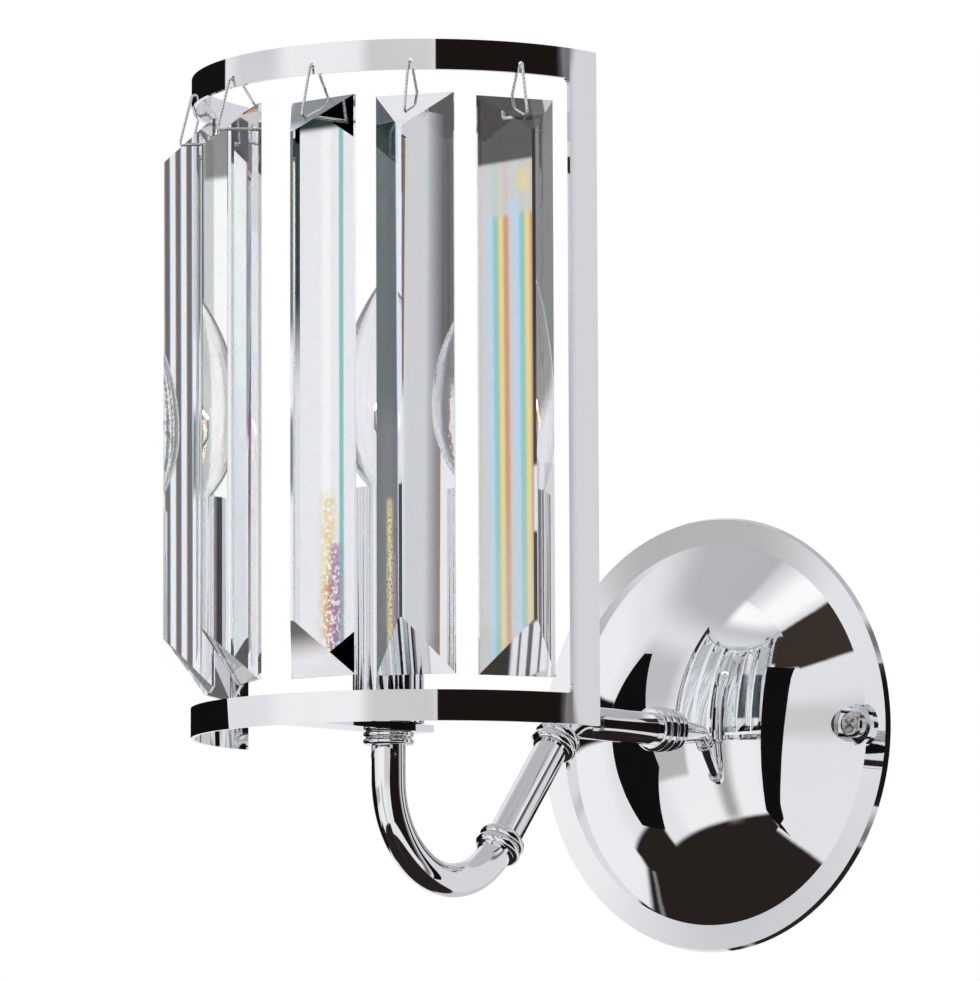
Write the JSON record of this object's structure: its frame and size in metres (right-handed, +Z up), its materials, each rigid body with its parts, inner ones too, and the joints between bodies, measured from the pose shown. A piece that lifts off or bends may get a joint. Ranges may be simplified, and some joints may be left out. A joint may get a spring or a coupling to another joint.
{
  "type": "crystal wall sconce",
  "caption": "Wall light with a domed chrome backplate, a bent arm with beaded collars, and long clear prisms hung on wire links in a half-round frame before a candle bulb.",
  "frame": {"origin": "centre of the backplate on the wall plane", "axes": "+Z up, +Y into the wall, the light stands out along -Y"},
  "size_m": [0.1686, 0.2583, 0.3046],
  "materials": {
    "polished_chrome": "mirror polished plating",
    "nickel_screws": "bright plated screws",
    "zinc_steel": "zinc plated steel",
    "brass_parts": "turned brass",
    "terminal_plastic": "moulded plastic",
    "holder_plastic": "moulded heat-resistant plastic",
    "link_wire": "bright plated wire",
    "crystal_glass": "polished lead-free crystal",
    "bulb_clear_glass": "clear blown glass",
    "bulb_cap_metal": "pressed cap",
    "bulb_black_glass": "dark fused glass",
    "bulb_solder": "solder",
    "bulb_wire": "drawn wire",
    "wire_brown": "silicone insulated wire",
    "wire_blue": "silicone insulated wire"
  },
  "bodies": {
    "wall_light": {"backplate": "polished_chrome", "root_collar": "polished_chrome", "upper_arm_tube": "polished_chrome", "upper_arm_collar": "polished_chrome", "straight_arm_tube": "polished_chrome", "lower_arm_collar": "polished_chrome", "lower_arm_tube": "polished_chrome", "riser_collar": "polished_chrome", "shade_bar": "polished_chrome", "shade_frame": "polished_chrome", "plate_screws": "nickel_screws", "grub_screws": "nickel_screws", "wall_bracket": "zinc_steel", "root_nipple": "zinc_steel", "root_washer": "zinc_steel", "root_lock_nut": "zinc_steel", "holder_nipple": "zinc_steel", "holder_washer": "zinc_steel", "holder_lock_nut": "zinc_steel", "earth_washer": "brass_parts", "earth_screw": "brass_parts", "terminal_tubes": "brass_parts", "lamp_holder_shell": "brass_parts", "lamp_holder_contact": "brass_parts", "terminal_screws": "zinc_steel", "terminal_block": "terminal_plastic", "lamp_holder_body": "holder_plastic", "candle_sleeve": "polished_chrome", "live_wire": "wire_brown", "neutral_wire": "wire_blue"},
    "link_1": {"crystal_link_1": "link_wire"},
    "crystal_1": {"crystal_1": "crystal_glass"},
    "link_2": {"crystal_link_2": "link_wire"},
    "crystal_2": {"crystal_2": "crystal_glass"},
    "link_3": {"crystal_link_3": "link_wire"},
    "crystal_3": {"crystal_3": "crystal_glass"},
    "link_4": {"crystal_link_4": "link_wire"},
    "crystal_4": {"crystal_4": "crystal_glass"},
    "link_5": {"crystal_link_5": "link_wire"},
    "crystal_5": {"crystal_5": "crystal_glass"},
    "link_6": {"crystal_link_6": "link_wire"},
    "crystal_6": {"crystal_6": "crystal_glass"},
    "bulb_base": {"bulb_base_contact": "bulb_solder"},
    "bulb": {"bulb_glass": "bulb_clear_glass", "bulb_screw_cap": "bulb_cap_metal", "bulb_insulator": "bulb_black_glass", "bulb_stem": "bulb_clear_glass", "bulb_lead_wires": "bulb_wire", "bulb_filament": "bulb_wire"}
  },
  "joints": [
    {"name": "link_swing_1", "type": "hinge", "parent": "wall_light", "child": "link_1", "pos_m": [-0.07364, -0.20184, 0.21575], "axis": [-0.4226, 0.9063, 0], "range_deg": [-3.5, 8]},
    {"name": "crystal_sway_1", "type": "hinge", "parent": "link_1", "child": "crystal_1", "pos_m": [-0.07364, -0.20184, 0.1977], "axis": [-0.9063, -0.4226, 0], "range_deg": [-1.3, 1.3]},
    {"name": "link_swing_2", "type": "hinge", "parent": "wall_light", "child": "link_2", "pos_m": [-0.04946, -0.23196, 0.21575], "axis": [-0.7071, 0.7071, 0], "range_deg": [-3.5, 8]},
    {"name": "crystal_sway_2", "type": "hinge", "parent": "link_2", "child": "crystal_2", "pos_m": [-0.04946, -0.23196, 0.1977], "axis": [-0.7071, -0.7071, 0], "range_deg": [-1.3, 1.3]},
    {"name": "link_swing_3", "type": "hinge", "parent": "wall_light", "child": "link_3", "pos_m": [-0.01828, -0.24667, 0.21575], "axis": [-0.8387, 0.5446, 0], "range_deg": [-3.5, 8]},
    {"name": "crystal_sway_3", "type": "hinge", "parent": "link_3", "child": "crystal_3", "pos_m": [-0.01828, -0.24667, 0.1977], "axis": [-0.5446, -0.8387, 0], "range_deg": [-1.3, 1.3]},
    {"name": "link_swing_4", "type": "hinge", "parent": "wall_light", "child": "link_4", "pos_m": [0.01828, -0.24667, 0.21575], "axis": [-0.9998, -0.0175, 0], "range_deg": [-3.5, 8]},
    {"name": "crystal_sway_4", "type": "hinge", "parent": "link_4", "child": "crystal_4", "pos_m": [0.01828, -0.24667, 0.1977], "axis": [0.0175, -0.9998, 0], "range_deg": [-1.3, 1.3]},
    {"name": "link_swing_5", "type": "hinge", "parent": "wall_light", "child": "link_5", "pos_m": [0.04946, -0.23196, 0.21575], "axis": [-0.9272, -0.3746, 0], "range_deg": [-3.5, 8]},
    {"name": "crystal_sway_5", "type": "hinge", "parent": "link_5", "child": "crystal_5", "pos_m": [0.04946, -0.23196, 0.1977], "axis": [0.3746, -0.9272, 0], "range_deg": [-1.3, 1.3]},
    {"name": "link_swing_6", "type": "hinge", "parent": "wall_light", "child": "link_6", "pos_m": [0.07364, -0.20184, 0.21575], "axis": [-0.4695, -0.8829, 0], "range_deg": [-3.5, 8]},
    {"name": "crystal_sway_6", "type": "hinge", "parent": "link_6", "child": "crystal_6", "pos_m": [0.07364, -0.20184, 0.1977], "axis": [0.8829, -0.4695, 0], "range_deg": [-1.3, 1.3]},
    {"name": "bulb_rise", "type": "slide", "parent": "wall_light", "child": "bulb_base", "axis": [0, 0, 1], "range_m": [0, 0.0142]},
    {"name": "bulb_turn", "type": "hinge", "parent": "bulb_base", "child": "bulb", "pos_m": [0, -0.1865, 0.0582], "axis": [0, 0, 1], "range_deg": [0, 1800]}
  ],
  "couplings": [
    {"joint": "bulb_rise", "follows": "bulb_turn", "m_per_rad": 0.00044913}
  ]
}
